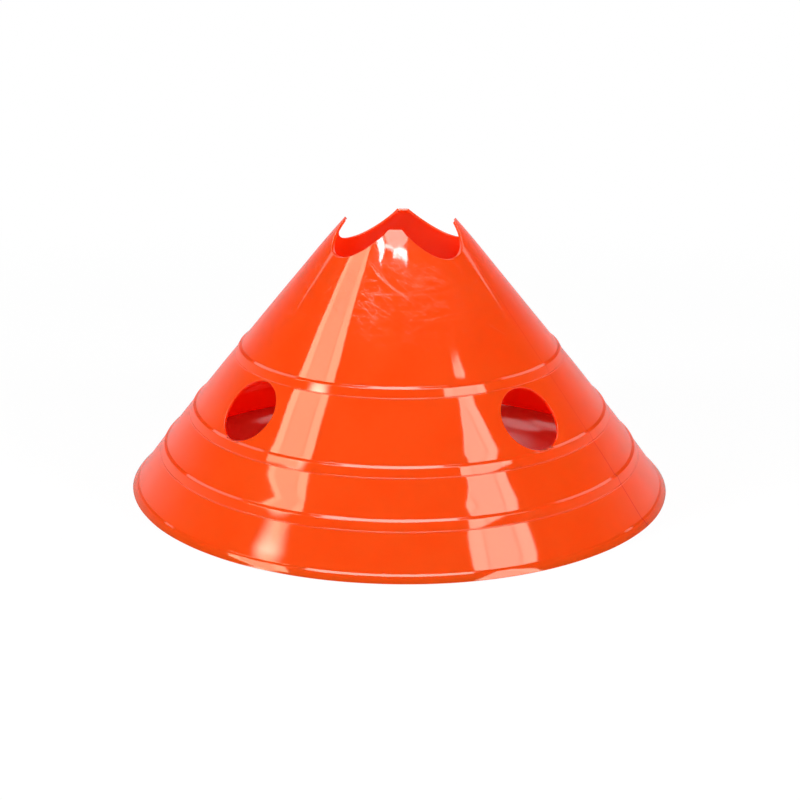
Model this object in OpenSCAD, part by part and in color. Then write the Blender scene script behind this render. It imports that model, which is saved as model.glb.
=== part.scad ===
// Sports marker cone: one thin plastic moulding, open at the base and at the crown.
// It stands on its base rim, centred on the origin, with +Z up. All lengths are in millimetres.

/* [Overall] */
// Diameter of the base where it stands
base_d = 305; // [290:1:340]
// Height of the crown's tips above the floor
cone_h = 150; // [146:0.5:158]
// Thickness of the wall, measured square to it
wall = 1.6; // [1.2:0.1:2.2]

/* [Lip round the base] */
// Level width of the lip's outer face
lip_run = 2.8; // [2:0.1:4]
// Height of the lip's outer face
lip_rise = 2.9; // [2:0.1:4]
// Level width of the ledge on the lip
lip_ledge_run = 1.1; // [0.9:0.1:2]
// Rise across the ledge on the lip
lip_ledge_rise = 0.7; // [0.5:0.1:1]

/* [Step rings] */
// Level width of the ledge at the top of each ring
ledge_run = 1.65; // [1.5:0.05:2.2]
// Rise across each ledge
ledge_rise = 0.75; // [0.5:0.05:0.9]
// Level width of the steep band below each ledge
band_run = 2.4; // [2.1:0.1:2.6]
// Height of each steep band
band_rise = 4.4; // [4:0.1:5]
// Radius on the hidden side of a ring's outer edge
edge_inner_r = 0.4; // [0.2:0.1:0.6]
// Radius on the visible side of the hollow corners beside a ring
hollow_outer_r = 1.5; // [0.8:0.1:1.8]

/* [Wall sections] */
// Level width of the foot section, above the lip
foot_run = 12.45; // [10:0.05:13]
// Height of the foot section
foot_rise = 16.7; // [15:0.1:19]
// Level width of the middle section
middle_run = 12.9; // [11:0.1:13.5]
// Height of the middle section
middle_rise = 16.55; // [15:0.05:19]
// Level width of the holed section
holed_run = 22.6; // [21:0.1:24]
// Height of the holed section
holed_rise = 28; // [26:0.1:30]
// Level width of the crown section
crown_run = 56.85; // [52:0.05:58]

/* [Pole holes] */
// Number of holes, and of notches above them
hole_count = 4; // [2:1:4]
// Diameter of each round hole through the holed section
hole_d = 36; // [20:0.5:36]
// Height of a hole's centre above the foot of its section
hole_rise = 13.6; // [12.5:0.1:14.5]

/* [Crown notches] */
// Diameter of the round that cuts each notch level through the crown
notch_d = 38; // [24:0.5:40]
// Depth of each notch below the tips, counterclockwise from +X
notch_depths = [15.3, 15.8, 17.7, 15.3]; // [10:0.1:19]
// Turn of each notch from its quarter line, in degrees
notch_turns = [-1.9, 2.5, -0.4, 1.2]; // [-4:0.1:4]

/* [Hidden] */
round_fn = 180;
arc_steps = 3;
// Overrun of each hole's cutter past both faces of the wall
cut_over = 6;

band = [-band_run, band_rise];
ledge = [-ledge_run, ledge_rise];
rise_below = lip_rise + lip_ledge_rise + foot_rise + middle_rise + holed_rise + 3 * (band_rise + ledge_rise);
// Straight runs of the outer face from the floor up to the crown
runs = [
    [-lip_run, lip_rise],
    [-lip_ledge_run, lip_ledge_rise],
    [-foot_run, foot_rise], band, ledge,
    [-middle_run, middle_rise], band, ledge,
    [-holed_run, holed_rise], band, ledge,
    [-crown_run, cone_h - rise_below]
];
holed_index = 8;

// Corner of the outer face after the first few runs
function corner_after(count) =
    count == 0 ? [base_d / 2, 0] : corner_after(count - 1) + runs[count - 1];
function along(run) = run / norm(run);
function into_wall(u) = [-u[1], u[0]];

// Rounded corner between two unit directions, at a depth below the outer face
function rounded(corner, u, v, depth) =
    let (to_centre = cross(u, v) > 0 ? edge_inner_r + wall : -hollow_outer_r,
         centre = corner + to_centre * (into_wall(u) + into_wall(v)) / (1 + u * v),
         first = atan2(u[1], u[0]),
         swing = atan2(v[1], v[0]) - first)
    [for (k = [0:arc_steps])
        let (turned = first + swing * k / arc_steps)
        centre + (depth - to_centre) * [-sin(turned), cos(turned)]];

// Line that runs up the wall at a depth below the outer face
function wall_line(depth) =
    let (top = len(runs), foot_slope = along(runs[0])[1])
    [corner_after(0) - [depth / foot_slope, 0],
     for (i = [1:top - 1]) each rounded(corner_after(i), along(runs[i - 1]), along(runs[i]), depth),
     corner_after(top) + depth * into_wall(along(runs[top - 1]))];

function backwards(points) = [for (i = [len(points) - 1:-1:0]) points[i]];

// Thin wall turned about the upright axis
module turned_wall() {
    rotate_extrude($fn = round_fn)
        polygon(concat(wall_line(0), backwards(wall_line(wall))));
}

// Cutter for one pole hole, square to the holed section
module pole_hole() {
    middle = corner_after(holed_index) + [-holed_run, holed_rise] * hole_rise / holed_rise;
    slope = atan2(holed_rise, holed_run);
    translate([middle[0], 0, middle[1]])
        rotate([0, slope, 0])
        translate([0, 0, -wall - cut_over])
        cylinder(d = hole_d, h = wall + 2 * cut_over, $fn = round_fn);
}

// Cutter for one notch, level and running out from the upright axis
module bar_notch(depth) {
    translate([0, 0, cone_h - depth + notch_d / 2])
        rotate([0, 90, 0])
        cylinder(d = notch_d, h = base_d / 2, $fn = round_fn);
}

module cone_shell() {
    color("orangered")
    difference() {
        turned_wall();
        for (k = [0:hole_count - 1]) {
            rotate(k * 360 / hole_count) pole_hole();
            rotate(k * 360 / hole_count + notch_turns[k]) bar_notch(notch_depths[k]);
        }
    }
}

cone_shell();
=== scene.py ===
import math
from bisect import bisect
import bmesh
import bpy
from mathutils import Matrix, Vector


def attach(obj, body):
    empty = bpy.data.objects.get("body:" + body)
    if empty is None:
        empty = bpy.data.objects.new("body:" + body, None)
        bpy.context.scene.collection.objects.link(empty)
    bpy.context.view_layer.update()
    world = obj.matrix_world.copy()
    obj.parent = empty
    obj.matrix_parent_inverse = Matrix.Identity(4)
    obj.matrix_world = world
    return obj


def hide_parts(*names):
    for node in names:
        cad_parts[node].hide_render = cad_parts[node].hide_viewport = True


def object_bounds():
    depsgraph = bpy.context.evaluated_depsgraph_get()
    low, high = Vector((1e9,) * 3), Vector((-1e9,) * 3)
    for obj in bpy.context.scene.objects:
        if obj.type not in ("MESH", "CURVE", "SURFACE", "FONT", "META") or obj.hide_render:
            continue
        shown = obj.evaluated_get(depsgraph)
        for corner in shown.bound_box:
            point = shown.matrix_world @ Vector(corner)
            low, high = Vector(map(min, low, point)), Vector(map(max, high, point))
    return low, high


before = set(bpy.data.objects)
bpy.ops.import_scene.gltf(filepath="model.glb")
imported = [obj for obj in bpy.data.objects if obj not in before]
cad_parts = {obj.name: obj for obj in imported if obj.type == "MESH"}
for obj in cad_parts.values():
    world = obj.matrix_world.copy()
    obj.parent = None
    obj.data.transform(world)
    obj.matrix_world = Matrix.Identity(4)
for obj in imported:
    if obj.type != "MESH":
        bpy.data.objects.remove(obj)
cadLow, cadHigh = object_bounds()
mm = 0.001
up = Vector((0, 0, 1))

view = {
    "azimuth": -41.0,  # of the camera, in degrees from +X
    "elevation": 17.698,
    "distance": 0.8601,
    "aimHeight": 0.04497,
    "turn": 2.012,  # to the left of the aim point
    "roll": 0.404,
    "lens": 67.69,
    "shift": 0.068,
}


def around(azimuth):
    return Vector((math.cos(azimuth), math.sin(azimuth), 0))


def placeCamera():
    bpy.ops.object.camera_add()
    camera = bpy.context.object
    camera.name = "photoCamera"
    azimuth, elevation = math.radians(view["azimuth"]), math.radians(view["elevation"])
    away = around(azimuth) * math.cos(elevation) + up * math.sin(elevation)
    camera.matrix_world = (
        Matrix.Translation(up * view["aimHeight"] + away * view["distance"])
        @ Matrix.Rotation(azimuth + math.pi / 2, 4, "Z")
        @ Matrix.Rotation(math.pi / 2 - elevation, 4, "X")
        @ Matrix.Rotation(math.radians(view["turn"]), 4, "Y")
        @ Matrix.Rotation(math.radians(view["roll"]), 4, "Z")
    )
    camera.data.lens = view["lens"]
    camera.data.shift_x = view["shift"]
    camera.data.clip_end = 20
    bpy.context.scene.camera = camera


placeCamera()
print("camera placed")

# The shell is one moulding: its wall is drawn in section, spun, and opened by four holes and four notches
cone = {
    "baseRadius": (cadHigh.x - cadLow.x) / 2,
    "height": cadHigh.z,
    "wall": 1.6 * mm,
    "columns": 480,
    "rowStep": 5 * mm,
    # level width and rise of the straight runs of the outer face
    "lip": (2.8 * mm, 2.9 * mm),
    "lipLedge": (1.1 * mm, 0.7 * mm),
    "foot": (12.45 * mm, 16.7 * mm),
    "middle": (12.9 * mm, 16.55 * mm),
    "holed": (22.6 * mm, 28 * mm),
    "crownRun": 56.85 * mm,
    "band": (2.4 * mm, 4.4 * mm),
    "ledge": (1.65 * mm, 0.75 * mm),
    # how far the middle of each run stands out past a straight line
    "bulges": {"foot": 0.03 * mm, "middle": 0.13 * mm, "holed": 0.14 * mm},
    "tipLean": 0.75 * mm,  # inwards, over the top of the crown
    "leanLength": 20 * mm,
    "waves": ((60 * mm, 0.32 * mm), (24 * mm, 0.05 * mm)),  # length and height of the moulding's unevenness
    # radii of the rounded corners, on the outer and the inner face
    "edgeRadii": (0.9 * mm, 0.4 * mm),
    "hollowRadii": (0.6 * mm, 1.6 * mm),
    "groove": (0.22 * mm, 0.09 * mm),  # half width and depth of the fine groove below each ring
    "arcStep": math.radians(8),
    "rounding": 0.28 * mm,  # of every cut edge
    "roundingSteps": 3,
    "sharpFrom": math.radians(35),
}
poleHole = {
    "count": 4,
    "radius": 17.8 * mm,
    "rise": 13.6 * mm,  # of the centre above the foot of the holed section
    "halfColumns": 17,
    "clearAngle": 0.1,  # radians to each side of a hole, where the rows of faces keep clear of it
    "clear": 0.38 * mm,  # least way from a hole to the rows beside it
    "clearGrowth": 0.1,
    "support": 0.34 * mm,  # from a hole to the last ring of faces round it
}
notch = {
    "radius": 19 * mm,
    "depths": (15.3 * mm, 15.8 * mm, 17.7 * mm, 15.3 * mm),
    "turns": (-1.9, 2.5, -0.4, 1.2),  # degrees from an even quarter
    "halfAngle": 40,  # degrees
    "floor": 4.5 * mm,  # height of the ringed stretch of wall below a notch
    "support": 0.4 * mm,
}
cutRings = (0.7, 0.6, 0.45, 0.3, 0, None)  # share of the way out that a ring keeps; None is the cut itself
hair = 0.01 * mm  # closer than this, two places are the same


def layRuns():
    below = [cone["lip"], cone["lipLedge"], cone["foot"], cone["band"], cone["ledge"], cone["middle"],
             cone["band"], cone["ledge"], cone["holed"], cone["band"], cone["ledge"]]
    crown = (cone["crownRun"], cone["height"] - sum(rise for _, rise in below))
    return [Vector((-level, rise)) for level, rise in below + [crown]]


runs = layRuns()
corners = [Vector((cone["baseRadius"], 0))]
for run in runs:
    corners.append(corners[-1] + run)
holedRun = 8  # place of the holed section among the runs


def intoWall(direction):
    return Vector((-direction.y, direction.x))


def roundCorner(index, depth):
    # points round a corner of the section, at a depth below the outer face
    below, above = runs[index - 1].normalized(), runs[index].normalized()
    hollow = below.x * above.y < below.y * above.x
    face = 0 if depth == 0 else 1
    toCentre = depth + (-cone["hollowRadii"][face] if hollow else cone["edgeRadii"][face])
    centre = corners[index] + (intoWall(below) + intoWall(above)) * toCentre / (1 + below.dot(above))
    first = math.atan2(below.y, below.x)
    swing = math.atan2(above.y, above.x) - first
    steps = max(2, math.ceil(abs(swing) / cone["arcStep"]))
    angles = [first + swing * k / steps for k in range(steps + 1)]
    return [centre + Vector((-math.sin(a), math.cos(a))) * (depth - toCentre) for a in angles]


def isRun(run, name):
    level, rise = cone[name]
    return (run - Vector((-level, rise))).length < hair


def runBulge(run):
    return max([bulge for name, bulge in cone["bulges"].items() if isRun(run, name)] or [0])


def grooveBelowRing(index):
    below, above = runs[index - 1].normalized(), runs[index].normalized()
    halfWidth, deep = cone["groove"]
    corner = corners[index]
    bottom = corner + intoWall(below + above) / 2 * deep
    return [corner - below * 2 * halfWidth, corner - below * halfWidth, bottom,
            corner + above * halfWidth, corner + above * 2 * halfWidth]


def skinLine(depth):
    line = [corners[0] - Vector((depth / runs[0].normalized().y, 0))]
    for index, run in enumerate(runs, 1):
        outwards = -intoWall(run.normalized())
        if index == len(runs):
            ending = [corners[-1] - outwards * depth]
        elif depth == 0 and isRun(runs[index], "band"):
            ending = grooveBelowRing(index)
        else:
            ending = roundCorner(index, depth)
        start, rows = line[-1], max(1, round(run.length / cone["rowStep"]))
        for row in range(1, rows):
            share = row / rows
            line.append(start.lerp(ending[0], share) + outwards * 4 * runBulge(run) * share * (1 - share))
        line += ending
    # the top of the crown leans in
    leanFrom = corners[-1].y - cone["leanLength"]
    for point in line:
        if point.y > leanFrom:
            point.x -= cone["tipLean"] * ((point.y - leanFrom) / cone["leanLength"]) ** 2
    return line


def radiusAt(line, height):
    above = min(max(bisect(line, height, key=lambda point: point.y), 1), len(line) - 1)
    low, high = line[above - 1], line[above]
    return low.x + (high.x - low.x) * (height - low.y) / (high.y - low.y)


skins = [skinLine(0), skinLine(cone["wall"])]


def skinOf(place):
    radius = math.hypot(place.x, place.y)
    return min(skins, key=lambda line: abs(radiusAt(line, place.z) - radius))


def deselectAll():
    bpy.ops.object.select_all(action="DESELECT")


def spinSection():
    # the section is drawn point by point, up the outer face and down the inner one,
    # then spun a quarter turn and copied
    deselectAll()
    bpy.ops.mesh.primitive_plane_add(size=cone["wall"])
    shell = bpy.context.object
    bpy.ops.object.mode_set(mode="EDIT")
    bpy.ops.mesh.merge(type="CENTER")
    path = skins[0] + skins[1][::-1]
    bpy.ops.transform.translate(value=(path[0].x, 0, path[0].y))
    for here, there in zip(path, path[1:]):
        way = (there.x - here.x, 0, there.y - here.y)
        bpy.ops.mesh.extrude_region_move(TRANSFORM_OT_translate={"value": way})
    mesh = bmesh.from_edit_mesh(shell.data)
    for vertex in mesh.verts:
        vertex.select_set(len(vertex.link_edges) == 1)
    mesh.select_flush_mode()
    bpy.ops.mesh.edge_face_add()
    bpy.ops.mesh.select_all(action="SELECT")
    bpy.ops.mesh.spin(steps=cone["columns"] // 4, angle=math.pi / 2, center=(0, 0, 0), axis=(0, 0, 1))
    bpy.ops.mesh.select_all(action="SELECT")
    bpy.ops.mesh.spin(steps=3, dupli=True, angle=1.5 * math.pi, center=(0, 0, 0), axis=(0, 0, 1))
    bpy.ops.mesh.select_all(action="SELECT")
    bpy.ops.mesh.remove_doubles(threshold=hair / 2)
    bpy.ops.mesh.normals_make_consistent(inside=False)
    return shell


def holeCuts():
    run = runs[holedRun]
    slope = run.normalized()
    middle = corners[holedRun] + run * poleHole["rise"] / run.y
    cuts = []
    for k in range(poleHole["count"]):
        azimuth = 2 * math.pi * k / poleHole["count"]
        outward = around(azimuth)
        cuts.append({
            "azimuth": azimuth,
            "centre": outward * middle.x + up * middle.y,
            "side": up.cross(outward),
            "rise": outward * slope.x + up * slope.y,
            "axis": outward * slope.y - up * slope.x,
            "reach": (-8 * mm, 4 * mm),
            "size": poleHole,
        })
    return cuts


def notchCuts():
    cuts = []
    for k, (depth, turn) in enumerate(zip(notch["depths"], notch["turns"])):
        azimuth = 2 * math.pi * k / len(notch["depths"]) + math.radians(turn)
        outward = around(azimuth)
        cuts.append({
            "azimuth": azimuth,
            "centre": up * (cone["height"] - depth + notch["radius"]),
            "side": up.cross(outward),
            "rise": up,
            "axis": outward,
            "reach": (0, cone["baseRadius"]),
            "size": notch,
            "floor": cone["height"] - depth - notch["floor"],
        })
    return cuts


def azimuthFrom(cut, place):
    turned = math.atan2(place.y, place.x) - cut["azimuth"]
    return (turned + math.pi) % (2 * math.pi) - math.pi


def acrossCut(cut, place):
    offset = place - cut["centre"]
    return offset.dot(cut["side"]), offset.dot(cut["rise"])


def dropOnWall(cut, across, rise, line):
    # the point of a skin that lies this far across and up from a cut's axis
    start = cut["centre"] + cut["side"] * across + cut["rise"] * rise
    low, high = cut["reach"]
    halvings = 26
    for _ in range(halvings):
        middle = (low + high) / 2
        place = start + cut["axis"] * middle
        if math.hypot(place.x, place.y) < radiusAt(line, place.z):
            low = middle
        else:
            high = middle
    return start + cut["axis"] * middle


holes, notches = holeCuts(), notchCuts()


def cutNear(place):
    cuts = notches if place.z > corners[-2].y else holes
    return cuts[round(math.atan2(place.y, place.x) / (2 * math.pi) * len(cuts)) % len(cuts)]


def holedEnds(line):
    # heights between which a skin of the holed section is straight
    depth = 0 if line is skins[0] else cone["wall"]
    return roundCorner(holedRun, depth)[-1].y, roundCorner(holedRun + 1, depth)[0].y


def selectBlocks(mesh):
    # the block of faces round each cut, which rings of faces take the place of
    halfWidth = 2 * math.pi * poleHole["halfColumns"] / cone["columns"]
    for face in mesh.faces:
        place = face.calc_center_median()
        cut = cutNear(place)
        aside = abs(azimuthFrom(cut, place))
        if cut["size"] is notch:
            inside = place.z > cut["floor"] and aside < math.radians(notch["halfAngle"])
        else:
            inside = place.z > corners[holedRun].y - cone["wall"] and aside < halfWidth
            if inside:
                low, high = holedEnds(skinOf(place))
                inside = low < place.z < high
        face.select_set(inside)


def clearRows(mesh):
    # rows beside the holed section slide along the wall until they pass clear of the holes
    step = hair
    reach = 3 * mm
    for vertex in mesh.verts:
        if not corners[holedRun].y - 2 * reach < vertex.co.z < corners[holedRun + 1].y + 2 * reach:
            continue
        cut = cutNear(vertex.co)
        if abs(azimuthFrom(cut, vertex.co)) > poleHole["clearAngle"]:
            continue
        line = skinOf(vertex.co)
        low, high = holedEnds(line)
        beyond = max(low - vertex.co.z, vertex.co.z - high)
        if not -step < beyond < reach:
            continue
        way = -step if vertex.co.z < (low + high) / 2 else step
        least = poleHole["radius"] + poleHole["clear"] + poleHole["clearGrowth"] * beyond
        azimuth = math.atan2(vertex.co.y, vertex.co.x)
        while math.hypot(*acrossCut(cut, vertex.co)) < least:
            height = vertex.co.z + way
            vertex.co = around(azimuth) * radiusAt(line, height) + up * height


def drawIn(mesh, share):
    # a new ring of edges keeps this share of the way out from the cut's last ring, which share 0 lays
    for vertex in [vertex for vertex in mesh.verts if vertex.select]:
        cut = cutNear(vertex.co)
        size, line = cut["size"], skinOf(vertex.co)
        across, rise = acrossCut(cut, vertex.co)
        least = size["radius"] + (size["support"] if share is not None else 0)
        distance = math.hypot(across, rise)
        wanted = least + (distance - least) * (share or 0)
        if size is notch and vertex.co.z > line[-1].y - hair:
            # slides along the crown's rim
            across = math.copysign(math.sqrt(wanted ** 2 - rise ** 2), across)
        else:
            across, rise = across * wanted / distance, rise * wanted / distance
        vertex.co = dropOnWall(cut, across, rise, line)


def openCuts(shell):
    bpy.ops.mesh.select_mode(type="FACE")
    bpy.ops.mesh.select_all(action="DESELECT")
    mesh = bmesh.from_edit_mesh(shell.data)
    selectBlocks(mesh)
    clearRows(mesh)
    bmesh.update_edit_mesh(shell.data)
    bpy.ops.mesh.delete(type="FACE")
    bpy.ops.mesh.select_mode(type="EDGE")
    for share in cutRings:
        bpy.ops.mesh.select_all(action="DESELECT")
        bpy.ops.mesh.select_non_manifold()
        bpy.ops.mesh.extrude_region_move()
        mesh = bmesh.from_edit_mesh(shell.data)
        drawIn(mesh, share)
        bmesh.update_edit_mesh(shell.data)
    for cut in holes + notches:
        bpy.ops.mesh.select_all(action="DESELECT")
        mesh = bmesh.from_edit_mesh(shell.data)
        for edge in mesh.edges:
            if not edge.is_boundary:
                continue
            first, last = [vertex.co for vertex in edge.verts]
            if cutNear(first) is cut and skinOf(first) is skinOf(last):
                edge.select_set(True)
        bmesh.update_edit_mesh(shell.data)
        bpy.ops.mesh.bridge_edge_loops()


def roundEdges():
    bpy.ops.mesh.select_mode(type="EDGE")
    bpy.ops.mesh.select_all(action="DESELECT")
    bpy.ops.mesh.edges_select_sharp(sharpness=cone["sharpFrom"])
    bpy.ops.mesh.bevel(offset=cone["rounding"], segments=cone["roundingSteps"], clamp_overlap=False)
    bpy.ops.mesh.select_all(action="SELECT")
    bpy.ops.mesh.dissolve_degenerate(threshold=hair)


def waveWall(shell):
    # the moulding is a little uneven, which bends what it mirrors
    for length, height in cone["waves"]:
        for direction in "XY":
            clouds = bpy.data.textures.new("unevenness" + direction, "CLOUDS")
            clouds.noise_scale = length
            clouds.noise_basis = "ORIGINAL_PERLIN" if direction == "X" else "IMPROVED_PERLIN"
            wave = shell.modifiers.new("wave", "DISPLACE")
            wave.texture = clouds
            wave.texture_coords = "LOCAL"
            wave.direction = direction
            wave.strength = height * 2
            bpy.ops.object.modifier_apply(modifier=wave.name)


def makeShell():
    shell = spinSection()
    print("section spun")
    openCuts(shell)
    roundEdges()
    bpy.ops.mesh.select_all(action="SELECT")
    bpy.ops.mesh.normals_make_consistent(inside=False)
    bpy.ops.object.mode_set(mode="OBJECT")
    waveWall(shell)
    bpy.ops.object.shade_smooth()
    shell.name = "coneShell"
    triangles = sum(len(face.vertices) - 2 for face in shell.data.polygons)
    print("cuts opened and edges rounded:", triangles, "triangles")
    return shell


shell = makeShell()
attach(shell, "root")
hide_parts("cone_shell")


plastic = {
    "colour": (0.95, 0.112, 0.009, 1),
    "paler": (0.95, 0.124, 0.012, 1),  # the same, where the dye is a little thin
    "cloudSize": 22 * mm,
    "cloudEdge": (0.3, 0.7),
    "roughness": 0.045,
    "cloudRoughness": 0.02,  # more where the dye is thin
    "gloss": 1.0,  # twice the usual, because half of the shader is light that passes the wall
    "ior": 1.6,
    "through": (0.92, 0.045, 0.001, 1),  # colour of the light that passes the wall
    "throughShare": 0.56,
    "peelScale": 500,
    "peelHeight": 0.003,  # heights are in mm
}
wearAndSheen = {
    "rising": (88 * mm, 126 * mm),  # heights between which the crown's scratches, and their painted sheen, grow more and more
    "thinning": (130 * mm, 138 * mm),  # heights between which the marks thin out again
    "topShare": 0.3,
    # the place where the scratches and their painted sheen are thickest, and how far it reaches
    "azimuth": math.radians(-48),
    "radius": 50 * mm,
    "height": 124 * mm,
    "reach": 34 * mm,
    "elsewhere": 0.35,
    "patchScale": 60,
    "patchEdge": (0.2, 0.65),
    # direction on the wall, length over spacing, closeness and width of each set of hairlines
    "hairlines": ((0.06, 12, 330, 0.0065), (-0.12, 14, 400, 0.006), (-0.7, 12, 310, 0.008),
                  (-0.95, 11, 380, 0.007), (0.8, 10, 330, 0.003)),
    "layer": 1.4 * mm,  # where the noise of the hairlines is cut
    # the hairlines' paler pink tint is a painted sheen standing in for the key light's haze, laid over real
    # scratches
    "colour": (1, 0.33, 0.2, 1),
    "colourShare": 0.14,
    "roughness": 0.26,
    "depth": 0.012,
}
seam = {
    "azimuth": math.radians(19.5),  # of the line that the mould's halves left
    "width": 0.7 * mm,
    "fading": (20 * mm, 60 * mm),  # heights between which the line fades
    "topShare": 0.35,
    "colour": (0.62, 0.012, 0.002, 1),
    "height": 0.03,
}
speck = {
    "spacing": 14 * mm,
    "radius": 0.3 * mm,
    "colour": (1, 0.3, 0.15, 1),
    "colourShare": 0.5,
    "height": 0.03,
}


def newMaterial(name):
    material = bpy.data.materials.new(name)
    material.use_nodes = True
    return material, material.node_tree.nodes, material.node_tree.links


def put(tree, kind, settings=None, **values):
    # a node with its settings and with its sockets fed by other sockets or by plain values
    node = tree.nodes.new(kind)
    for name, value in (settings or {}).items():
        setattr(node, name, value)
    for name, value in values.items():
        socket = node.inputs[int(name[1:])] if name[1:].isdigit() else node.inputs[name.replace("_", " ")]
        if isinstance(value, bpy.types.NodeSocket):
            tree.links.new(value, socket)
        else:
            socket.default_value = value
    return node


def reckon(tree, operation, *values):
    numbered = {"n%d" % k: value for k, value in enumerate(values)}
    return put(tree, "ShaderNodeMath", {"operation": operation}, **numbered).outputs[0]


def times(tree, first, second):
    return reckon(tree, "MULTIPLY", first, second)


def blend(tree, share, first, second):
    # from the first colour to the second
    return put(tree, "ShaderNodeMix", {"data_type": "RGBA"}, n0=share, n6=first, n7=second).outputs[2]


def ramp(tree, value, low, high, start=0, end=1):
    node = put(tree, "ShaderNodeMapRange", {"interpolation_type": "SMOOTHSTEP"}, Value=value, From_Min=low,
               From_Max=high, To_Min=start, To_Max=end)
    return node.outputs[0]


def noise(tree, place, scale, detail=2):
    return put(tree, "ShaderNodeTexNoise", Vector=place, Scale=scale, Detail=detail).outputs["Fac"]


def layFlat(tree, place, height):
    # the crown's wall laid flat: the way round it and the way up it
    parts = put(tree, "ShaderNodeSeparateXYZ", Vector=place)
    turned = reckon(tree, "ARCTAN2", parts.outputs["Y"], parts.outputs["X"])
    wayRound = times(tree, turned, wearAndSheen["radius"])
    wayUp = times(tree, height, runs[-1].length / runs[-1].y)
    flat = put(tree, "ShaderNodeCombineXYZ", X=wayRound, Y=wayUp, Z=wearAndSheen["layer"])
    return flat.outputs["Vector"]


def wearAndSheenShare(tree, place, height):
    centre = around(wearAndSheen["azimuth"]) * wearAndSheen["radius"] + up * wearAndSheen["height"]
    away = put(tree, "ShaderNodeVectorMath", {"operation": "DISTANCE"}, n0=place, n1=centre).outputs["Value"]
    spot = ramp(tree, away, wearAndSheen["reach"] / 4, wearAndSheen["reach"], 1, wearAndSheen["elsewhere"])
    wornAndSheen = times(tree, ramp(tree, height, *wearAndSheen["rising"]), spot)
    wornAndSheen = times(tree, wornAndSheen, ramp(tree, height, *wearAndSheen["thinning"], 1, wearAndSheen["topShare"]))
    return times(tree, wornAndSheen, ramp(tree, noise(tree, place, wearAndSheen["patchScale"]), *wearAndSheen["patchEdge"]))


def scratchesAndSheen(tree, place, height):
    # a hairline lies where a stretched noise passes its middle value
    wornAndSheen, flat = wearAndSheenShare(tree, place, height), layFlat(tree, place, height)
    lines = 0
    for turn, stretch, closeness, width in wearAndSheen["hairlines"]:
        laid = put(tree, "ShaderNodeMapping", {"vector_type": "TEXTURE"}, Vector=flat, Rotation=(0, 0, turn),
                   Scale=(stretch, 1, 1)).outputs["Vector"]
        off = reckon(tree, "ABSOLUTE", reckon(tree, "SUBTRACT", noise(tree, laid, closeness, 0), 0.5))
        lines = reckon(tree, "MAXIMUM", reckon(tree, "LESS_THAN", off, times(tree, wornAndSheen, width)), lines)
    return lines


def mouldLine(tree, place, height):
    side = (-math.sin(seam["azimuth"]), math.cos(seam["azimuth"]), 0)
    across = put(tree, "ShaderNodeVectorMath", {"operation": "DOT_PRODUCT"}, n0=place, n1=side)
    off = reckon(tree, "ABSOLUTE", across.outputs["Value"])
    line = ramp(tree, off, seam["width"] / 4, seam["width"] * 3 / 4, 1, 0)
    return times(tree, line, ramp(tree, height, *seam["fading"], 1, seam["topShare"]))


def specks(tree, place):
    cells = put(tree, "ShaderNodeTexVoronoi", Vector=place, Scale=1 / speck["spacing"])
    reach = speck["radius"] / speck["spacing"]
    return ramp(tree, cells.outputs["Distance"], reach / 2, reach, 1, 0)


def makePlastic():
    material, nodes, links = newMaterial("glossOrange")
    tree = material.node_tree
    place = put(tree, "ShaderNodeTexCoord").outputs["Object"]
    height = put(tree, "ShaderNodeSeparateXYZ", Vector=place).outputs["Z"]
    scratchAndSheen, line, dust = scratchesAndSheen(tree, place, height), mouldLine(tree, place, height), specks(tree, place)
    cloud = ramp(tree, noise(tree, place, 1 / plastic["cloudSize"], 4), *plastic["cloudEdge"])

    colour = blend(tree, cloud, plastic["colour"], plastic["paler"])
    colour = blend(tree, line, colour, seam["colour"])
    colour = blend(tree, times(tree, dust, speck["colourShare"]), colour, speck["colour"])
    # painted sheen: the hairlines are tinted paler where the key light's haze falls
    colour = blend(tree, times(tree, scratchAndSheen, wearAndSheen["colourShare"]), colour, wearAndSheen["colour"])

    dull = reckon(tree, "ADD", plastic["roughness"], times(tree, cloud, plastic["cloudRoughness"]))
    roughness = put(tree, "ShaderNodeMix", n0=scratchAndSheen, n2=dull, n3=wearAndSheen["roughness"]).outputs[0]

    relief = times(tree, noise(tree, place, plastic["peelScale"]), plastic["peelHeight"])
    for mask, rise in ((dust, speck["height"]), (scratchAndSheen, -wearAndSheen["depth"]), (line, seam["height"])):
        relief = reckon(tree, "ADD", relief, times(tree, mask, rise))
    bump = put(tree, "ShaderNodeBump", Height=relief, Distance=mm, Strength=1.0)

    shader = nodes["Principled BSDF"]
    shader.inputs["Specular IOR Level"].default_value = plastic["gloss"]
    shader.inputs["IOR"].default_value = plastic["ior"]
    links.new(colour, shader.inputs["Base Color"])
    links.new(roughness, shader.inputs["Roughness"])
    links.new(bump.outputs["Normal"], shader.inputs["Normal"])
    through = put(tree, "ShaderNodeBsdfTranslucent", Color=plastic["through"])
    mix = put(tree, "ShaderNodeMixShader", n0=plastic["throughShare"], n1=shader.outputs["BSDF"],
              n2=through.outputs["BSDF"])
    links.new(mix.outputs["Shader"], nodes["Material Output"].inputs["Surface"])
    return material


shell.data.materials.append(makePlastic())
print("plastic mixed")

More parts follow.
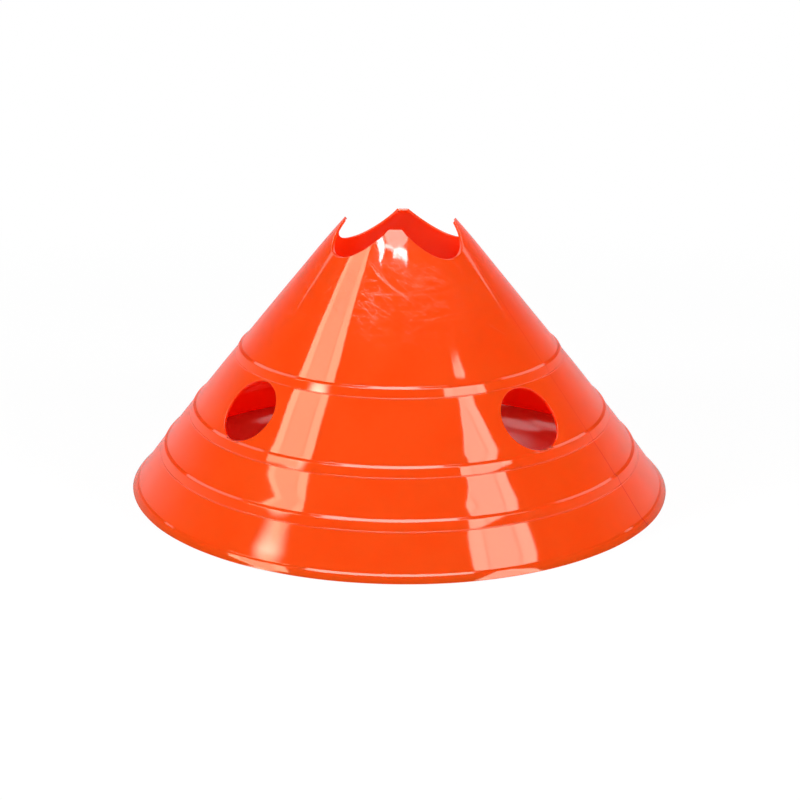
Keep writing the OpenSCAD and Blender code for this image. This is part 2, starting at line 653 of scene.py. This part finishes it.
# Softboxes hang round the cone; a direction is seen from the cone's middle, azimuth and elevation in degrees
hanging = {"distance": 1.3, "aimHeight": 0.075}
softboxes = {
    # an edge goes from the card's low end to its top, or for leftStrip from its top to its low end;
    # bands are places from the left edge to the right one, and the share of the brightness there
    "leftStrip": {"left": ((-140, 46.5), (-122, 36), (-100, 34.5)),
                  "right": ((-110, 59), (-101, 49), (-92, 40.5)),
                  "colour": (1, 0.95, 0.63), "brightness": 6.7,
                  "bands": ((0, 1.15), (0.19, 1.2), (0.215, 0.6), (0.25, 0.84),
                            (0.73, 0.84), (0.755, 0.6), (0.79, 1.1), (1, 1.1))},
    "leftStripFoot": {"left": ((-114, 22), (-115, 25)), "right": ((-97, 26.5), (-96, 30)),
                      "colour": (1, 0.95, 0.63), "brightness": 6.0},
    "rightStrip": {"left": ((-8, 26.5), (-6, 41.5), (14, 52.4)),
                   "right": ((22, 26.5), (24.5, 41.5), (21, 51)),
                   "colour": (1, 0.96, 0.76), "brightness": 7.2,
                   "bands": ((0, 1), (0.24, 1), (0.27, 0.65), (0.31, 0.9),
                             (0.75, 0.9), (0.785, 0.65), (0.82, 1), (1, 1))},
    "rearRight": {"left": ((80, 26), (86, 48)), "right": ((132, 26), (126, 48)),
                  "colour": (1, 0.98, 0.9), "brightness": 2},
    "rearLeft": {"left": ((-162, 26), (-168, 48)), "right": ((-214, 26), (-208, 48)),
                 "colour": (1, 0.98, 0.9), "brightness": 2},
    # two bare tubes in a bow, with a thin joint between them
    "bowLeft": {"left": ((-108, 61.8), (-109, 64.2)), "right": ((-79, 62.3), (-82, 65.8)),
                "colour": (1, 1, 1), "brightness": 27},
    "bowJoint": {"left": ((-83, 65.2), (-83, 66)), "right": ((-54, 67.2), (-54, 68)),
                 "colour": (1, 1, 1), "brightness": 20},
    "bowRight": {"left": ((-56, 66), (-54, 68)), "right": ((-26, 65.6), (-19, 67)),
                 "colour": (1, 1, 1), "brightness": 27},
}
roundBoxes = {
    # soft is how far from the middle, in card widths, the light starts and ends its fall
    "lowBox": {"direction": (-100, 30.5), "spread": 9, "colour": (1, 0.97, 0.72), "brightness": 17,
               "soft": (0.03, 0.48)},
    "overhead": {"direction": (-95, 87.5), "spread": 20.5, "colour": (1, 0.98, 0.9), "brightness": 7.5,
                 "further": 1.1},
}
lamps = {
    "leftKey": {"direction": (-83, 68), "size": 0.18, "power": 3.9},
    "rightKey": {"direction": (-25, 68), "size": 0.18, "power": 3.6},
    "leftFill": {"direction": (-104, 23), "size": 0.4, "power": 25},
    "rightFill": {"direction": (20, 23), "size": 0.4, "power": 17},
    "backFill": {"direction": (139, 25), "size": 0.5, "power": 4.5},
}


def towards(azimuth, elevation):
    azimuth, elevation = math.radians(azimuth), math.radians(elevation)
    return around(azimuth) * math.cos(elevation) + up * math.sin(elevation)


def seenDirectly(tree):
    # 1 for what the eye or a mirroring face sees, 0 for what matt faces gather
    return reckon(tree, "LESS_THAN", put(tree, "ShaderNodeLightPath").outputs["Diffuse Depth"], 0.5)


def layStops(colourRamp, stops):
    while len(colourRamp.elements) < len(stops):
        colourRamp.elements.new(0.5)
    for element, (position, colour) in zip(colourRamp.elements, stops):
        element.position = position
        element.color = (*colour, 1)


def glowMaterial(name, box):
    material, nodes, links = newMaterial(name + "Light")
    nodes.remove(nodes["Principled BSDF"])
    glow = nodes.new("ShaderNodeEmission")
    glow.inputs["Color"].default_value = (*box["colour"], 1)
    links.new(glow.outputs["Emission"], nodes["Material Output"].inputs["Surface"])
    tree = material.node_tree
    place = put(tree, "ShaderNodeTexCoord").outputs["UV"]
    if "bands" in box:
        across = put(tree, "ShaderNodeSeparateXYZ", Vector=place).outputs["Y"]
        bands = put(tree, "ShaderNodeValToRGB", Fac=across)
        stops = [(at, [part * share for part in box["colour"]]) for at, share in box["bands"]]
        layStops(bands.color_ramp, stops)
        links.new(bands.outputs["Color"], glow.inputs["Color"])
    strength = box["brightness"]
    if "soft" in box:
        away = put(tree, "ShaderNodeVectorMath", {"operation": "DISTANCE"}, n0=place, n1=(0.5, 0.5, 0))
        strength = ramp(tree, away.outputs["Value"], *box["soft"], strength, 0)
    links.new(times(tree, seenDirectly(tree), strength), glow.inputs["Strength"])
    return material


def finishBox(card, name, box):
    card.name = name
    card.data.materials.append(glowMaterial(name, box))
    card.visible_camera = False
    card.visible_diffuse = False


def hangSoftbox(name):
    edges = softboxes[name]["left"] + softboxes[name]["right"]
    deselectAll()
    bpy.ops.mesh.primitive_grid_add(x_subdivisions=len(edges) // 2 - 1, y_subdivisions=1)
    card = bpy.context.object
    for vertex, direction in zip(card.data.vertices, edges):
        vertex.co = up * hanging["aimHeight"] + towards(*direction) * hanging["distance"]
    finishBox(card, name, softboxes[name])


def hangRoundBox(name):
    box = roundBoxes[name]
    away = towards(*box["direction"])
    distance = hanging["distance"] * box.get("further", 1)
    deselectAll()
    bpy.ops.mesh.primitive_circle_add(vertices=48, radius=distance * math.tan(math.radians(box["spread"])),
                                      fill_type="NGON", location=up * hanging["aimHeight"] + away * distance,
                                      rotation=away.to_track_quat("Z", "Y").to_euler())
    finishBox(bpy.context.object, name, box)


def hangLamp(name):
    settings = lamps[name]
    away = towards(*settings["direction"])
    bpy.ops.object.light_add(type="AREA", location=up * hanging["aimHeight"] + away * hanging["distance"],
                             rotation=away.to_track_quat("Z", "Y").to_euler())
    lamp = bpy.context.object
    lamp.name = name
    lamp.data.size = settings["size"]
    lamp.data.energy = settings["power"]
    lamp.data.shape = "DISK"
    lamp.visible_glossy = False


for name in softboxes:
    hangSoftbox(name)
for name in roundBoxes:
    hangRoundBox(name)
for name in lamps:
    hangLamp(name)
print("softboxes hung")

studio = {
    "floorColour": (0.9, 0.9, 0.9, 1),
    "floorSize": 20,
    "shownWhite": (0.4, 0.8, 0.94, 1),  # how far off, and the share of plain white there, for the camera
    "ambient": 0.06,
    # brightness that the plastic mirrors, by height of the direction
    "horizon": ((0, 1), (0.09, 0.75), (0.19, 0.5), (0.25, 0.32), (0.32, 0.15), (0.42, 0.045), (0.5, 0.01)),
}


def makeFloor():
    deselectAll()
    bpy.ops.mesh.primitive_plane_add(size=studio["floorSize"])
    floor = bpy.context.object
    floor.name = "floor"
    material, nodes, links = newMaterial("whiteFloor")
    tree = material.node_tree
    shader = nodes["Principled BSDF"]
    shader.inputs["Base Color"].default_value = studio["floorColour"]
    shader.inputs["Roughness"].default_value = 1
    shader.inputs["Specular IOR Level"].default_value = 0
    ray = put(tree, "ShaderNodeLightPath")
    place = put(tree, "ShaderNodeTexCoord").outputs["Object"]
    away = put(tree, "ShaderNodeVectorMath", {"operation": "LENGTH"}, n0=place).outputs["Value"]
    shown = times(tree, ray.outputs["Is Camera Ray"], ramp(tree, away, *studio["shownWhite"]))
    mirrored = times(tree, ray.outputs["Is Glossy Ray"], seenDirectly(tree))
    outside = reckon(tree, "GREATER_THAN", away, cone["baseRadius"] - cone["wall"])
    share = times(tree, reckon(tree, "MAXIMUM", shown, mirrored), outside)
    white = put(tree, "ShaderNodeEmission")
    mix = put(tree, "ShaderNodeMixShader", n0=share, n1=shader.outputs["BSDF"], n2=white.outputs["Emission"])
    links.new(mix.outputs["Shader"], nodes["Material Output"].inputs["Surface"])
    floor.data.materials.append(material)


makeFloor()


def makeWorld():
    world = bpy.data.worlds.new("studio")
    bpy.context.scene.world = world
    world.use_nodes = True
    nodes, links = world.node_tree.nodes, world.node_tree.links
    tree = world.node_tree
    direction = put(tree, "ShaderNodeTexCoord").outputs["Generated"]
    height = put(tree, "ShaderNodeSeparateXYZ", Vector=direction).outputs["Z"]
    horizon = put(tree, "ShaderNodeValToRGB", Fac=height)
    layStops(horizon.color_ramp, [(position, [value] * 3) for position, value in studio["horizon"]])
    dim = blend(tree, seenDirectly(tree), (*[studio["ambient"]] * 3, 1), horizon.outputs["Color"])
    ray = put(tree, "ShaderNodeLightPath")
    seen = blend(tree, ray.outputs["Is Camera Ray"], dim, (1, 1, 1, 1))
    links.new(seen, nodes["Background"].inputs["Color"])


makeWorld()
bpy.context.scene.view_settings.view_transform = "Standard"
print("studio lit")
